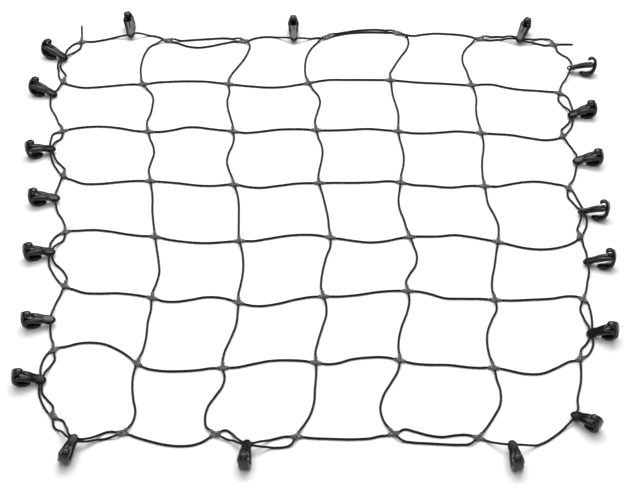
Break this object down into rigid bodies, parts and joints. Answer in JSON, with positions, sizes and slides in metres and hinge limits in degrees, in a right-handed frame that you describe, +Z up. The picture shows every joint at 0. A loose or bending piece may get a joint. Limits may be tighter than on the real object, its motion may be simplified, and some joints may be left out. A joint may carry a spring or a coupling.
{
  "type": "cargo net",
  "caption": "Elastic cargo net: one braided cord laid in a grid of square meshes, held by metal cross clips, with plastic two-prong hooks round its border.",
  "frame": {"origin": "centre of the net's bounding box, on the surface it lies on", "axes": "+Z up from the surface; +Y towards the border with three hooks and both free tails; +X to the right as seen from above with +Y away"},
  "size_m": [1.3987, 1.5042, 0.0518],
  "materials": {
    "cord": "braided polyester sheath, matt",
    "hook": "glossy moulded",
    "clip": "dull stamped metal"
  },
  "bodies": {
    "root": {"hook_left_0": "hook", "hook_left_1": "hook", "hook_left_2": "hook", "hook_left_3": "hook", "hook_left_4": "hook", "hook_left_5": "hook", "hook_left_6": "hook", "hook_right_0": "hook", "hook_right_1": "hook", "hook_right_2": "hook", "hook_right_3": "hook", "hook_right_4": "hook", "hook_right_5": "hook", "hook_right_6": "hook", "hook_top_0": "hook", "hook_top_1": "hook", "hook_top_2": "hook", "hook_bottom_0": "hook", "hook_bottom_1": "hook", "hook_bottom_2": "hook", "cord_column_0": "cord", "cord_column_1": "cord", "cord_column_2": "cord", "cord_column_3": "cord", "cord_column_4": "cord", "cord_column_5": "cord", "cord_column_6": "cord", "cord_row_7": "cord", "cord_row_6": "cord", "cord_row_5": "cord", "cord_row_4": "cord", "cord_row_3": "cord", "cord_row_2": "cord", "cord_row_1": "cord", "cord_row_0": "cord", "clip_0_0": "clip", "clip_0_1": "clip", "clip_0_2": "clip", "clip_0_3": "clip", "clip_0_4": "clip", "clip_0_5": "clip", "clip_0_6": "clip", "clip_1_0": "clip", "clip_1_6": "clip", "clip_2_0": "clip", "clip_2_6": "clip", "clip_3_0": "clip", "clip_3_6": "clip", "clip_4_0": "clip", "clip_4_6": "clip", "clip_5_0": "clip", "clip_5_6": "clip", "clip_6_0": "clip", "clip_6_6": "clip", "clip_7_0": "clip", "clip_7_1": "clip", "clip_7_2": "clip", "clip_7_3": "clip", "clip_7_4": "clip", "clip_7_5": "clip"}
  },
  "joints": []
}
